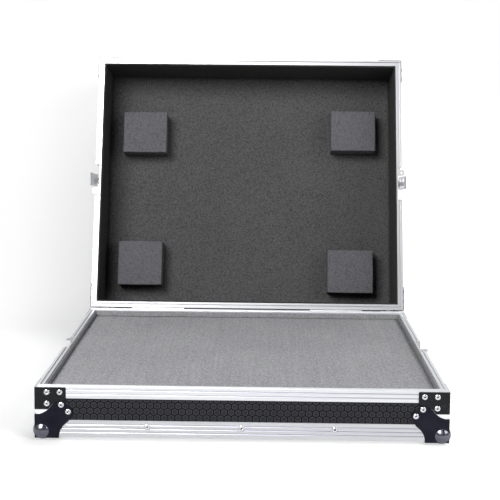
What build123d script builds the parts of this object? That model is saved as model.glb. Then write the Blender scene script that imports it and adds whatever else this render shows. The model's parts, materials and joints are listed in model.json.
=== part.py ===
"""A mixer flight case: a shallow foam-filled tray and a deeper lid that leans open on its hinges.

Sizes are in millimetres. The origin is at the middle of the foam slab's top, where the mixer lies.
X runs across the case, the front faces -Y and +Z is up.
Pieces are drawn with the bottom panel's underside at zero height and the lid closed.
The lid's pieces are then swung open about the hinge line, and everything is lowered to the origin.
"""

import os

from build123d import *

os.makedirs("parts", exist_ok=True)

# Overall sizes over the aluminium sections
WIDTH = 580.0
DEPTH = 476.0
BASE_HEIGHT = 72.5
LID_HEIGHT = 109.0
PARTING_GAP = 0.5
OPEN_ANGLE = 105.0

# Sheet and panel thicknesses, play, and how far a cutting shape runs past what it cuts
SKIN = 1.5
PANEL = 7.0
LINING = 2.5
FIT = 0.1
RUNNING = 0.3
BEYOND = 1.0

# Rim sections along the parting line
RIM_HEIGHT = 16.5
RIM_INNER_LEG = 12.0
RIM_WEB = 3.0
TONGUE_HEIGHT = 2.2
TONGUE_ROOT = 2.6
TONGUE_TIP = 1.8
TONGUE_MIDDLE = 4.5
GROOVE_PLAY = 0.6
GROOVE_FLOOR_PLAY = 1.1
LINE_WIDTH = 1.6
LINE_DEPTH = 0.6
RIM_LINES = (4.6, 10.8)

# Edge sections and corner angles
EDGE_LEG = 24.7
EDGE_INNER_LEG = 20.0
EDGE_LINES = (7.1, 12.7, 18.2)
ANGLE_LEG = 25.0

# Foam
FOAM_BELOW_RIM = 9.0
LINING_BELOW_RIM = 2.0
PAD_THICKNESS = 38.0

# Pads in the lid: name, side (-1 left, 1 right) and the middle's distance from it,
# end (-1 front, 1 back) and the middle's distance from it, and the pad's width and height
PADS = (
    ("upper_left", (-1, 85.0), (-1, 132.5), (85.5, 81.5)),
    ("upper_right", (1, 86.5), (-1, 126.0), (88.0, 80.0)),
    ("lower_left", (-1, 82.0), (1, 86.5), (85.5, 85.0)),
    ("lower_right", (1, 93.0), (1, 74.5), (88.5, 83.0)),
)

# Ball corners
BALL_RADIUS = 13.75
BALL_PROUD = 5.25
CORNER_SHEET = 1.2
FOOT_LENGTH = 33.0
FOOT_CURVE = 26.0
LOBE_RADIUS = 7.0
LOBE_FAR = 45.5
LOBE_NEAR = 36.5

# Corner braces at the parting line
BRACE_WIDTH = 43.0
BRACE_HEIGHT = 31.5
BRACE_SHEET = 1.2
BRACE_FROM_RIM = 0.8
BRACE_ROUND = 2.0

# Hinges
HINGE_OUT = 3.0
HINGE_AT = 165.0
HINGE_WIDTH = 96.0
HINGE_LEAF = 15.5
HINGE_SHEET = 1.5
HINGE_BARREL = 2.7
HINGE_PIN = 1.75
HINGE_PLAY = 0.05
KNUCKLES = 3
STOP_REACH = 8.0
STOP_THICKNESS = 1.8

# Latches, drawn on the side's face: across, up from the lid's parting line, and out
DISH_HALF = 31.0
DISH_TALL = 60.0
DISH_ROUND = 5.0
KEEPER_ABOVE_EDGE = 1.8
RECESS = 7.4
DISH_SHEET = 1.0
FLANGE = 8.0
SPINDLE_UP = 36.0
SPINDLE_RADIUS = 3.0
SPINDLE_END = -8.1
HEAD_RADIUS = 7.0
HEAD_UNDER = -5.6
HEAD_SHEET = 1.2
HEAD_SIDES = 8
THROW = 3.0
CAM_RADIUS = 5.5
CAM_PLAY = 0.7
SLIDE_HALF = 12.0
SLIDE_UNDER = -7.1
SLIDE_SHEET = 1.2
SLIDE_TAIL = 4.3
PRONG_HALF = 9.0
PRONG_TOP = 20.5
PIVOT_UP = 16.0
PIVOT_OUT = -5.2
KNUCKLE_RADIUS = 1.6
KNUCKLE_HALF = 4.0
EAR_SHEET = 1.5
SMALL_PIN = 1.0
PIN_PLAY = 0.05
HOOK_REACH = 28.5
HOOK_HALF = 12.0
HOOK_SHEET = 1.3
HOOK_START = 2.7
HOOK_STEP = 6.5
HOOK_CROWN = 1.95
HOOK_TIP = 1.85
HOOK_CORNER = 1.0
HOOK_OPEN = 26.0
WING_OUT = -2.4
WING_UNDER = -3.3
WING_SHEET = 1.8
WING_BARREL = 1.7
WING_NECK = 3.6
WING_EAR = 2.0
WING_ACROSS = 10.5
WING_UP = 12.0
WING_ROUND = 7.5
WING_NOTCH = 7.0
WING_NOTCH_UP = 23.0
EYE_AT = -20.0
EYE_HALF = 5.6
EYE_PROUD = 4.5
EYE_ROUND = 4.0
EYE_SHEET = 1.5
EYE_HOLE = 2.1
EYE_HOLE_OUT = -0.6
CATCH_HALF = 9.0
CATCH_FROM = -8.0
CATCH_TO = -10.2
CATCH_TOP = -6.15
CATCH_SLOPE = 1.0
GUIDE_FROM = 20.0
GUIDE_TO = 40.0
GUIDE_TOP = -5.0
GUIDE_LIP = 10.8
GUIDE_EDGE = 13.5
SPRING_FROM = 0.5
SPRING_TO = 7.5
SPRING_SHEET = 0.5
SPRING_CROWN = -6.2
SPRING_HALF = 3.8

# Carrying handle on the lid's front wall
HANDLE_PLATE_WIDTH = 130.0
HANDLE_PLATE_HEIGHT = 44.0
HANDLE_PLATE_UP = 50.4
HANDLE_SHEET = 1.5
HANDLE_ROUND = 6.0
BAIL_UP = 62.0
BAIL_OUT = 4.5
BAIL_HALF = 50.0
BAIL_DROP = 30.0
BAIL_BAR = 7.0
BAIL_THICKNESS = 5.0
BAIL_END = 2.8
BAIL_CORNER = 12.0
BAIL_PIN = 2.2
BAIL_EAR = 4.0
BAIL_EAR_ROUND = 4.5

# Levels and reaches that follow from the sizes above
HALF_W = WIDTH / 2
HALF_D = DEPTH / 2
RIM = SKIN + PANEL + SKIN
FOOT_Z = -SKIN
PART_Z = BASE_HEIGHT - SKIN
LID_Z = PART_Z + PARTING_GAP
LID_TOP = LID_Z + LID_HEIGHT
LINED = RIM + LINING
DRAW = 2 * THROW
BALL_IN = BALL_RADIUS - BALL_PROUD
CUT_BACK = max(EDGE_LEG, BALL_IN + BALL_RADIUS) + RUNNING
LID_INNER = LID_TOP - SKIN - PANEL
FOAM_TOP = PART_Z - FOAM_BELOW_RIM
KEEPER_TALL = BASE_HEIGHT - EDGE_LEG - FLANGE - KEEPER_ABOVE_EDGE
OPENING_WIDE = 2 * (DISH_HALF + DISH_SHEET + FIT)
KEEPER_OPENING = KEEPER_TALL + DISH_SHEET + FIT
LATCH_OPENING = DISH_TALL + DISH_SHEET + FIT
HANGING = (Align.CENTER, Align.MAX)
STANDING = (Align.CENTER, Align.MIN)

# The hinge line, and the swing that brings a closed piece to its place in the open lid
HINGE_Y = HALF_D + HINGE_OUT
HINGE_Z = PART_Z + PARTING_GAP / 2
HINGE_POINT = Location((0, HINGE_Y, HINGE_Z))
CLOSED = Location()
LOWERED = Location((0, 0, -FOAM_TOP))
LID_OPEN = HINGE_POINT * Location((0, 0, 0), (-OPEN_ANGLE, 0, 0)) * HINGE_POINT.inverse()

# Each side of the case: turn about Z from the front, length, distance from the middle
SIDES = {
    "front": (0, WIDTH, HALF_D),
    "right": (90, DEPTH, HALF_W),
    "back": (180, WIDTH, HALF_D),
    "left": (270, DEPTH, HALF_W),
}

# Places of a corner piece that is drawn with its tip at the origin and the case towards +X +Y +Z
CORNERS = ((-HALF_W, -HALF_D, 0), (HALF_W, -HALF_D, 90), (HALF_W, HALF_D, 180), (-HALF_W, HALF_D, 270))
UPPER = ((-HALF_W, HALF_D, 0), (-HALF_W, -HALF_D, 90), (HALF_W, -HALF_D, 180), (HALF_W, HALF_D, 270))
OVER = Location((0, 0, 0), (180, 0, 0))
BASE_TIPS = [Location((x, y, FOOT_Z), (0, 0, turn)) for x, y, turn in CORNERS]
LID_TIPS = [Location((x, y, LID_TOP), (0, 0, turn)) * OVER for x, y, turn in UPPER]


def outward(turn):
    """The direction out of a side."""
    return Vector(0, -1, 0).rotate(Axis.Z, turn)


def along(turn):
    """The direction along a side, to the right for someone who looks at it."""
    return Vector(1, 0, 0).rotate(Axis.Z, turn)


def section_plane(turn, reach, height, shift=0.0):
    """Across a side: x is out from its face and y is up."""
    middle = outward(turn) * reach + along(turn) * shift + Vector(0, 0, height)
    return Plane(origin=middle, x_dir=outward(turn), z_dir=-along(turn))


def face_plane(turn, reach, height, out=0.0):
    """On a side's face: x is along it, y is up and the normal is out."""
    middle = outward(turn) * (reach + out) + Vector(0, 0, height)
    return Plane(origin=middle, x_dir=along(turn), z_dir=outward(turn))


def plan_plane(turn, height):
    """Looking down: x is along a side and y is towards the middle of the case."""
    return Plane(origin=(0, 0, height), x_dir=along(turn), z_dir=(0, 0, 1))


def finish(piece, name, place=CLOSED):
    """Put a finished piece in its place, label it and write it."""
    piece.part.move(LOWERED * place)
    piece.part.label = name
    export_step(piece.part, f"parts/{name}.step")


def press_lines(levels):
    """Cut the lines along a section's outer face into its profile, as narrow triangles."""
    edge = LINE_WIDTH / 2
    for level in levels:
        tip = (-LINE_DEPTH, level)
        Polygon((0, level - edge), (0, level + edge), tip, align=None, mode=Mode.SUBTRACT)


def block(x, y, z, mode=Mode.ADD):
    """A box between two values on each axis."""
    middle = ((x[0] + x[1]) / 2, (y[0] + y[1]) / 2, (z[0] + z[1]) / 2)
    with Locations(middle):
        Box(x[1] - x[0], y[1] - y[0], z[1] - z[0], mode=mode)


# Rim profiles: the base has the tongue, the lid has the groove that drops over it
with BuildSketch() as tongue_profile:
    with BuildLine():
        Polyline(
            (0, -RIM_HEIGHT),
            (0, 0),
            (-TONGUE_MIDDLE + TONGUE_ROOT / 2, 0),
            (-TONGUE_MIDDLE + TONGUE_TIP / 2, TONGUE_HEIGHT),
            (-TONGUE_MIDDLE - TONGUE_TIP / 2, TONGUE_HEIGHT),
            (-TONGUE_MIDDLE - TONGUE_ROOT / 2, 0),
            (-RIM, 0),
            (-RIM, -RIM_INNER_LEG),
            (-SKIN - PANEL, -RIM_INNER_LEG),
            (-SKIN - PANEL, -RIM_WEB),
            (-SKIN, -RIM_WEB),
            (-SKIN, -RIM_HEIGHT),
            close=True,
        )
    make_face()
    press_lines([-line for line in RIM_LINES])

GROOVE_DEPTH = TONGUE_HEIGHT + GROOVE_FLOOR_PLAY - PARTING_GAP
GROOVE_WEB = GROOVE_DEPTH + SKIN
with BuildSketch() as groove_profile:
    with BuildLine():
        Polyline(
            (0, RIM_HEIGHT),
            (0, 0),
            (-TONGUE_MIDDLE + TONGUE_ROOT / 2 + GROOVE_PLAY, 0),
            (-TONGUE_MIDDLE + TONGUE_TIP / 2 + GROOVE_PLAY, GROOVE_DEPTH),
            (-TONGUE_MIDDLE - TONGUE_TIP / 2 - GROOVE_PLAY, GROOVE_DEPTH),
            (-TONGUE_MIDDLE - TONGUE_ROOT / 2 - GROOVE_PLAY, 0),
            (-RIM, 0),
            (-RIM, RIM_INNER_LEG),
            (-SKIN - PANEL, RIM_INNER_LEG),
            (-SKIN - PANEL, GROOVE_WEB),
            (-SKIN, GROOVE_WEB),
            (-SKIN, RIM_HEIGHT),
            close=True,
        )
    make_face()
    press_lines(RIM_LINES)

# Double-angle profile with its outer corner at the origin, for the bottom edges
with BuildSketch() as edge_profile:
    with BuildLine():
        Polyline(
            (0, 0),
            (0, EDGE_LEG),
            (-SKIN, EDGE_LEG),
            (-SKIN, SKIN),
            (-SKIN - PANEL, SKIN),
            (-SKIN - PANEL, EDGE_INNER_LEG),
            (-RIM, EDGE_INNER_LEG),
            (-RIM, SKIN),
            (-EDGE_LEG, SKIN),
            (-EDGE_LEG, 0),
            close=True,
        )
    make_face()
    press_lines(EDGE_LINES)


# Ball corner: three lobed plates that wrap the tip, and a ball that bulges from all three
with BuildSketch() as lobed_plate:
    with BuildLine():
        CenterArc((LOBE_FAR, LOBE_NEAR), LOBE_RADIUS, 0, 360)
        CenterArc((LOBE_NEAR, LOBE_FAR), LOBE_RADIUS, 0, 360)
        Polyline((-CORNER_SHEET, FOOT_LENGTH), (-CORNER_SHEET, -CORNER_SHEET), (FOOT_LENGTH, -CORNER_SHEET))
    make_hull()
    with Locations((FOOT_LENGTH + FOOT_CURVE, 0), (0, FOOT_LENGTH + FOOT_CURVE)):
        Circle(FOOT_CURVE, mode=Mode.SUBTRACT)
    with Locations((FOOT_LENGTH, -CORNER_SHEET)):
        Rectangle(FOOT_CURVE, CORNER_SHEET, align=Align.MIN, mode=Mode.SUBTRACT)
    with Locations((-CORNER_SHEET, FOOT_LENGTH)):
        Rectangle(CORNER_SHEET, FOOT_CURVE, align=Align.MIN, mode=Mode.SUBTRACT)

ROOM = 100.0
with BuildPart() as ball_corner:
    for face in (Plane.XY, Plane.YZ, Plane.ZX):
        with BuildSketch(face):
            add(lobed_plate.sketch)
        extrude(amount=-CORNER_SHEET)
    with Locations((BALL_IN, BALL_IN, BALL_IN)):
        Sphere(BALL_RADIUS)
    block((SKIN, ROOM), (SKIN, ROOM), (SKIN, ROOM), Mode.SUBTRACT)

with BuildPart() as base_ball_corners:
    for tip in BASE_TIPS:
        add(ball_corner.part.moved(tip))
finish(base_ball_corners, "base_ball_corners")

with BuildPart() as lid_ball_corners:
    for tip in LID_TIPS:
        add(ball_corner.part.moved(tip))
finish(lid_ball_corners, "lid_ball_corners", LID_OPEN)

# Vertical corner angles, between the rims and the ball corners
BASE_ANGLE_LOW = FOOT_Z + CUT_BACK
BASE_ANGLE_HIGH = PART_Z - RIM_HEIGHT
LID_ANGLE_LOW = LID_Z + RIM_HEIGHT
LID_ANGLE_HIGH = LID_TOP - CUT_BACK
with BuildSketch() as angle_profile:
    Rectangle(ANGLE_LEG, ANGLE_LEG, align=Align.MIN)
    with Locations((SKIN, SKIN)):
        Rectangle(ANGLE_LEG, ANGLE_LEG, align=Align.MIN, mode=Mode.SUBTRACT)

with BuildPart() as base_corner_angles:
    for x, y, turn in CORNERS:
        with BuildSketch(Plane(Location((x, y, BASE_ANGLE_LOW), (0, 0, turn)))):
            add(angle_profile.sketch)
    extrude(amount=BASE_ANGLE_HIGH - BASE_ANGLE_LOW)
finish(base_corner_angles, "base_corner_angles")

with BuildPart() as lid_corner_angles:
    for x, y, turn in CORNERS:
        with BuildSketch(Plane(Location((x, y, LID_ANGLE_LOW), (0, 0, turn)))):
            add(angle_profile.sketch)
    extrude(amount=LID_ANGLE_HIGH - LID_ANGLE_LOW)
finish(lid_corner_angles, "lid_corner_angles", LID_OPEN)

# Corner braces: steel angles over the rims' mitres, with rounded ends
with BuildPart() as brace:
    with BuildSketch():
        with Locations((-BRACE_SHEET, -BRACE_SHEET)):
            Rectangle(BRACE_WIDTH + BRACE_SHEET, BRACE_WIDTH + BRACE_SHEET, align=Align.MIN)
        Rectangle(BRACE_WIDTH + BRACE_SHEET, BRACE_WIDTH + BRACE_SHEET, align=Align.MIN, mode=Mode.SUBTRACT)
    extrude(amount=BRACE_HEIGHT)
    fillet(brace.edges().filter_by(Axis.X).group_by(Axis.Y)[-1], BRACE_ROUND)
    fillet(brace.edges().filter_by(Axis.Y).group_by(Axis.X)[-1], BRACE_ROUND)
    fillet(brace.edges().filter_by(Axis.Z).sort_by_distance((-BRACE_SHEET, -BRACE_SHEET, 0))[0], BRACE_SHEET)

# The base's braces are notched round the lobes of the ball corners below them
LOBE_END = LOBE_FAR + LOBE_RADIUS + RUNNING
with BuildPart() as lobe_room:
    for face in (Plane.YZ, Plane.ZX):
        with BuildSketch(face):
            add(lobed_plate.sketch)
            offset(amount=RUNNING)
            with Locations((LOBE_NEAR, LOBE_NEAR)):
                Rectangle(LOBE_END - LOBE_NEAR, LOBE_END - LOBE_NEAR, align=Align.MIN)
        extrude(amount=-2 * BRACE_SHEET)

with BuildPart() as base_corner_braces:
    for x, y, turn in CORNERS:
        low = PART_Z - BRACE_FROM_RIM - BRACE_HEIGHT
        add(brace.part.moved(Location((x, y, low), (0, 0, turn))))
    for tip in BASE_TIPS:
        add(lobe_room.part.moved(tip), mode=Mode.SUBTRACT)
finish(base_corner_braces, "base_corner_braces")

with BuildPart() as lid_corner_braces:
    for x, y, turn in CORNERS:
        low = LID_Z + BRACE_FROM_RIM
        add(brace.part.moved(Location((x, y, low), (0, 0, turn))))
finish(lid_corner_braces, "lid_corner_braces", LID_OPEN)

# Rims, edge sections and wall panels on the four sides
for side, (turn, length, reach) in SIDES.items():
    latched = side in ("left", "right")

    with BuildSketch(plan_plane(turn, 0)) as mitred:
        with BuildLine():
            Polyline(
                (-length / 2, -reach),
                (length / 2, -reach),
                (length / 2 - EDGE_LEG, EDGE_LEG - reach),
                (EDGE_LEG - length / 2, EDGE_LEG - reach),
                close=True,
            )
        make_face()

    with BuildPart() as keeper_opening:
        with BuildSketch(face_plane(turn, reach, PART_Z + TONGUE_HEIGHT)):
            Rectangle(OPENING_WIDE, TONGUE_HEIGHT + KEEPER_OPENING, align=HANGING)
        extrude(amount=-RECESS - DISH_SHEET - FIT)

    with BuildPart() as latch_opening:
        with BuildSketch(face_plane(turn, reach, LID_Z)):
            Rectangle(OPENING_WIDE, LATCH_OPENING, align=STANDING)
        extrude(amount=-RECESS - DISH_SHEET - FIT)

    with BuildPart() as base_rim:
        with BuildSketch(section_plane(turn, reach, PART_Z)):
            add(tongue_profile.sketch)
        extrude(amount=length / 2, both=True)
        extrude(mitred.sketch, amount=BASE_HEIGHT + TONGUE_HEIGHT, mode=Mode.INTERSECT)
        if latched:
            add(keeper_opening.part, mode=Mode.SUBTRACT)
    finish(base_rim, f"base_rim_{side}")

    with BuildPart() as lid_rim:
        with BuildSketch(section_plane(turn, reach, LID_Z)):
            add(groove_profile.sketch)
        extrude(amount=length / 2, both=True)
        extrude(mitred.sketch, amount=LID_TOP, mode=Mode.INTERSECT)
        if latched:
            add(latch_opening.part, mode=Mode.SUBTRACT)
    finish(lid_rim, f"lid_rim_{side}", LID_OPEN)

    with BuildPart() as base_edge:
        with BuildSketch(section_plane(turn, reach, FOOT_Z)):
            add(edge_profile.sketch)
        extrude(amount=length / 2 - CUT_BACK, both=True)
    finish(base_edge, f"base_edge_{side}")

    with BuildPart() as lid_edge:
        with BuildSketch(section_plane(turn, reach, LID_TOP)):
            mirror(edge_profile.sketch, about=Plane.XZ)
        extrude(amount=length / 2 - CUT_BACK, both=True)
    finish(lid_edge, f"lid_edge_{side}", LID_OPEN)

    wall_length = length - 2 * SKIN
    if latched:
        wall_length = length - 2 * (SKIN + PANEL)

    with BuildPart() as base_panel:
        with BuildSketch(face_plane(turn, reach, 0, out=-SKIN)):
            Rectangle(wall_length, PART_Z - RIM_WEB, align=STANDING)
        extrude(amount=-PANEL)
        if latched:
            add(keeper_opening.part, mode=Mode.SUBTRACT)
    finish(base_panel, f"base_{side}_panel")

    with BuildPart() as lid_panel:
        with BuildSketch(face_plane(turn, reach, LID_Z + GROOVE_WEB, out=-SKIN)):
            Rectangle(wall_length, LID_HEIGHT - GROOVE_WEB - SKIN, align=STANDING)
        extrude(amount=-PANEL)
        if latched:
            add(latch_opening.part, mode=Mode.SUBTRACT)
    finish(lid_panel, f"lid_{side}_panel", LID_OPEN)

# Bottom and top panels, seated on the edge sections and butted to their inner legs
with BuildPart() as base_bottom_panel:
    with BuildSketch(Plane.XY):
        Rectangle(WIDTH - 2 * RIM, DEPTH - 2 * RIM)
    extrude(amount=PANEL)
finish(base_bottom_panel, "base_bottom_panel")

with BuildPart() as lid_top_panel:
    with BuildSketch(Plane.XY.offset(LID_INNER)):
        Rectangle(WIDTH - 2 * RIM, DEPTH - 2 * RIM)
    extrude(amount=PANEL)
finish(lid_top_panel, "lid_top_panel", LID_OPEN)

# Linings: a foam sheet on the walls, thicker between the legs of the rims and edge sections
BEHIND_LEGS = SKIN + PANEL
with BuildSketch() as lining_ring:
    Rectangle(WIDTH - 2 * RIM, DEPTH - 2 * RIM)
    Rectangle(WIDTH - 2 * LINED, DEPTH - 2 * LINED, mode=Mode.SUBTRACT)
with BuildSketch() as backing_ring:
    Rectangle(WIDTH - 2 * BEHIND_LEGS, DEPTH - 2 * BEHIND_LEGS)
    Rectangle(WIDTH - 2 * LINED, DEPTH - 2 * LINED, mode=Mode.SUBTRACT)

LEG_TOP = FOOT_Z + EDGE_INNER_LEG + FIT
LEG_END = PART_Z - RIM_INNER_LEG - FIT
with BuildPart() as base_lining:
    with BuildSketch(Plane.XY.offset(PANEL)):
        add(lining_ring.sketch)
    extrude(amount=PART_Z - LINING_BELOW_RIM - PANEL)
    with BuildSketch(Plane.XY.offset(LEG_TOP)):
        add(backing_ring.sketch)
    extrude(amount=LEG_END - LEG_TOP)
finish(base_lining, "base_lining")

LID_LEG_END = LID_Z + RIM_INNER_LEG + FIT
LID_LEG_TOP = LID_TOP - EDGE_INNER_LEG - FIT
with BuildPart() as lid_wall_lining:
    with BuildSketch(Plane.XY.offset(LID_Z + LINING_BELOW_RIM)):
        add(lining_ring.sketch)
    extrude(amount=LID_INNER - LINING - LID_Z - LINING_BELOW_RIM)
    with BuildSketch(Plane.XY.offset(LID_LEG_END)):
        add(backing_ring.sketch)
    extrude(amount=LID_LEG_TOP - LID_LEG_END)
finish(lid_wall_lining, "lid_wall_lining", LID_OPEN)

with BuildPart() as lid_top_lining:
    with BuildSketch(Plane.XY.offset(LID_INNER - LINING)):
        Rectangle(WIDTH - 2 * RIM, DEPTH - 2 * RIM)
    extrude(amount=LINING)
finish(lid_top_lining, "lid_top_lining", LID_OPEN)

# Foam: the slab in the tray and the four cut blocks in the lid
with BuildPart() as base_foam_slab:
    with BuildSketch(Plane.XY.offset(PANEL)):
        Rectangle(WIDTH - 2 * LINED, DEPTH - 2 * LINED)
    extrude(amount=FOAM_TOP - PANEL)
finish(base_foam_slab, "base_foam_slab")

for where, (hand, from_side), (end, from_end), (wide, tall) in PADS:
    with BuildPart() as pad:
        with BuildSketch(Plane.XY.offset(LID_INNER - LINING)):
            with Locations((hand * (HALF_W - from_side), end * (HALF_D - from_end))):
                Rectangle(wide, tall)
        extrude(amount=-PAD_THICKNESS)
    finish(pad, f"pad_{where}", LID_OPEN)

# Hinges on the back rims: leaves with three knuckles, a pin, and a stop tongue on the lid's knuckle
KNUCKLE = HINGE_WIDTH / KNUCKLES
BACK = 180
HINGE_PLACES = (-HINGE_AT, HINGE_AT)


def knuckle_middles(first):
    """The middles along a hinge of every other knuckle."""
    return [(n + 0.5) * KNUCKLE - HINGE_WIDTH / 2 for n in range(first, KNUCKLES, 2)]


with BuildPart() as base_hinge_leaves:
    for place in HINGE_PLACES:
        with BuildSketch(section_plane(BACK, HALF_D, HINGE_Z, shift=place)):
            with Locations((0, -PARTING_GAP / 2)):
                Rectangle(HINGE_SHEET, HINGE_LEAF, align=(Align.MIN, Align.MAX))
        extrude(amount=HINGE_WIDTH / 2, both=True)
        for middle in knuckle_middles(1):
            with BuildSketch(section_plane(BACK, HALF_D, HINGE_Z, shift=place + middle)):
                with Locations((HINGE_OUT, 0)):
                    Circle(HINGE_BARREL + RUNNING)
            extrude(amount=(KNUCKLE + RUNNING) / 2, both=True, mode=Mode.SUBTRACT)
        for middle in knuckle_middles(0):
            with BuildSketch(section_plane(BACK, HALF_D, HINGE_Z, shift=place + middle)):
                with Locations((HINGE_OUT, 0)):
                    Circle(HINGE_BARREL)
            extrude(amount=(KNUCKLE - RUNNING) / 2, both=True)
        with BuildSketch(section_plane(BACK, HALF_D, HINGE_Z, shift=place)):
            with Locations((HINGE_OUT, 0)):
                Circle(HINGE_PIN)
        extrude(amount=HINGE_WIDTH, both=True, mode=Mode.SUBTRACT)
finish(base_hinge_leaves, "base_hinge_leaves")

with BuildPart() as lid_hinge_leaves:
    for place in HINGE_PLACES:
        with BuildSketch(section_plane(BACK, HALF_D, HINGE_Z, shift=place)):
            with Locations((0, PARTING_GAP / 2)):
                Rectangle(HINGE_SHEET, HINGE_LEAF, align=Align.MIN)
        extrude(amount=HINGE_WIDTH / 2, both=True)
        for middle in knuckle_middles(0):
            with BuildSketch(section_plane(BACK, HALF_D, HINGE_Z, shift=place + middle)):
                with Locations((HINGE_OUT, 0)):
                    Circle(HINGE_BARREL + RUNNING)
            extrude(amount=(KNUCKLE + RUNNING) / 2, both=True, mode=Mode.SUBTRACT)
        for middle in knuckle_middles(1):
            with BuildSketch(section_plane(BACK, HALF_D, HINGE_Z, shift=place + middle)):
                with Locations((HINGE_OUT, 0)):
                    Circle(HINGE_BARREL)
                with Locations(Location((HINGE_OUT, 0, 0), (0, 0, OPEN_ANGLE))):
                    with Locations((HINGE_SHEET + RUNNING - HINGE_OUT, 0)):
                        Rectangle(STOP_THICKNESS, STOP_REACH, align=(Align.MIN, Align.MAX))
            extrude(amount=(KNUCKLE - RUNNING) / 2, both=True)
        with BuildSketch(section_plane(BACK, HALF_D, HINGE_Z, shift=place)):
            with Locations((HINGE_OUT, 0)):
                Circle(HINGE_PIN + HINGE_PLAY)
        extrude(amount=HINGE_WIDTH, both=True, mode=Mode.SUBTRACT)
finish(lid_hinge_leaves, "lid_hinge_leaves", LID_OPEN)

with BuildPart() as hinge_pins:
    for place in HINGE_PLACES:
        with BuildSketch(section_plane(BACK, HALF_D, HINGE_Z, shift=place)):
            with Locations((HINGE_OUT, 0)):
                Circle(HINGE_PIN)
        extrude(amount=HINGE_WIDTH / 2, both=True)
finish(hinge_pins, "hinge_pins")

# Latches: each piece is drawn flat, with x across, y up from the lid's parting line and z out,
# and then put on the left and right sides. They are drawn unlatched.
LATCH_SIDES = {"left": 270, "right": 90}
LID_FRAMES = {side: Location(face_plane(turn, HALF_W, LID_Z)) for side, turn in LATCH_SIDES.items()}
BASE_FRAMES = {side: Location(face_plane(turn, HALF_W, PART_Z)) for side, turn in LATCH_SIDES.items()}
FLAT = Plane.XY
CROSSWISE = Plane.YZ
WALL_TALL = RECESS + 2 * DISH_SHEET - SKIN


def dish_outline(half, tall, rounding, beyond):
    """A dish's outline, rounded at its closed end and cut off square at the parting line."""
    RectangleRounded(2 * half, 2 * tall, rounding)
    Rectangle(2 * half + BEYOND, tall + BEYOND, align=beyond, mode=Mode.SUBTRACT)


def twins(across, up, out):
    """The same block on both sides of the middle."""
    block(across, up, out)
    block((-across[1], -across[0]), up, out)


def crosswise_pin(radius, half, up, out, mode=Mode.ADD):
    """A round pin that lies across the latch."""
    with Locations((0, up, out)):
        Cylinder(radius, 2 * half, rotation=(0, 90, 0), mode=mode)


# Padlock eye, the same on both dishes
with BuildSketch(Plane.XZ) as padlock_eye:
    with Locations((EYE_AT, -RECESS)):
        Rectangle(2 * EYE_HALF, RECESS + EYE_PROUD, align=STANDING)
    fillet(padlock_eye.vertices().group_by(Axis.Y)[-1], EYE_ROUND)
    with Locations((EYE_AT, EYE_HOLE_OUT)):
        Circle(EYE_HOLE, mode=Mode.SUBTRACT)

# Latch dish: a pressed tray with a flange, the slide's guides and the spindle's hole
with BuildPart() as latch_dish:
    with BuildSketch(FLAT.offset(-SKIN)):
        dish_outline(DISH_HALF + FLANGE, DISH_TALL + FLANGE, DISH_ROUND, HANGING)
        Rectangle(3 * DISH_HALF, RIM_HEIGHT + RUNNING, align=STANDING, mode=Mode.SUBTRACT)
    extrude(amount=DISH_SHEET)
    with BuildSketch(FLAT.offset(-RECESS - DISH_SHEET)):
        dish_outline(DISH_HALF + DISH_SHEET, DISH_TALL + DISH_SHEET, DISH_ROUND + DISH_SHEET, HANGING)
    extrude(amount=WALL_TALL)
    with BuildSketch(FLAT.offset(-RECESS)):
        dish_outline(DISH_HALF, DISH_TALL, DISH_ROUND, HANGING)
    extrude(amount=RECESS, mode=Mode.SUBTRACT)
    with BuildSketch(FLAT.offset(-RECESS)):
        with Locations((0, SPINDLE_UP)):
            Circle(SPINDLE_RADIUS + PIN_PLAY)
    extrude(amount=-DISH_SHEET, mode=Mode.SUBTRACT)
    slide_top = SLIDE_UNDER + SLIDE_SHEET
    twins((SLIDE_HALF + RUNNING, GUIDE_EDGE), (GUIDE_FROM, GUIDE_TO), (-RECESS, GUIDE_TOP))
    twins((GUIDE_LIP, GUIDE_EDGE), (GUIDE_FROM, GUIDE_TO), (slide_top + RUNNING, GUIDE_TOP))
    extrude(padlock_eye.sketch, amount=-EYE_SHEET)

with BuildPart() as lid_latch_dishes:
    for frame in LID_FRAMES.values():
        add(latch_dish.part.moved(frame))
finish(lid_latch_dishes, "lid_latch_dishes", LID_OPEN)

# Keeper dish in the base: the same tray, shorter, with the catch for the hook's tip
with BuildPart() as keeper_dish:
    with BuildSketch(FLAT.offset(-SKIN)):
        dish_outline(DISH_HALF + FLANGE, KEEPER_TALL + FLANGE, DISH_ROUND, STANDING)
        Rectangle(3 * DISH_HALF, RIM_HEIGHT + RUNNING, align=HANGING, mode=Mode.SUBTRACT)
    extrude(amount=DISH_SHEET)
    with BuildSketch(FLAT.offset(-RECESS - DISH_SHEET)):
        dish_outline(DISH_HALF + DISH_SHEET, KEEPER_TALL + DISH_SHEET, DISH_ROUND + DISH_SHEET, STANDING)
    extrude(amount=WALL_TALL)
    with BuildSketch(FLAT.offset(-RECESS)):
        dish_outline(DISH_HALF, KEEPER_TALL, DISH_ROUND, STANDING)
    extrude(amount=RECESS, mode=Mode.SUBTRACT)
    with BuildSketch(CROSSWISE):
        ramp = (CATCH_FROM, -RECESS)
        lip = (CATCH_FROM - CATCH_SLOPE, CATCH_TOP)
        Polygon((CATCH_TO, -RECESS), ramp, lip, (CATCH_TO, CATCH_TOP), align=None)
    extrude(amount=CATCH_HALF, both=True)
    extrude(padlock_eye.sketch, amount=EYE_SHEET)

with BuildPart() as keeper_dishes:
    for frame in BASE_FRAMES.values():
        add(keeper_dish.part.moved(frame))
finish(keeper_dishes, "keeper_dishes")

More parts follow.
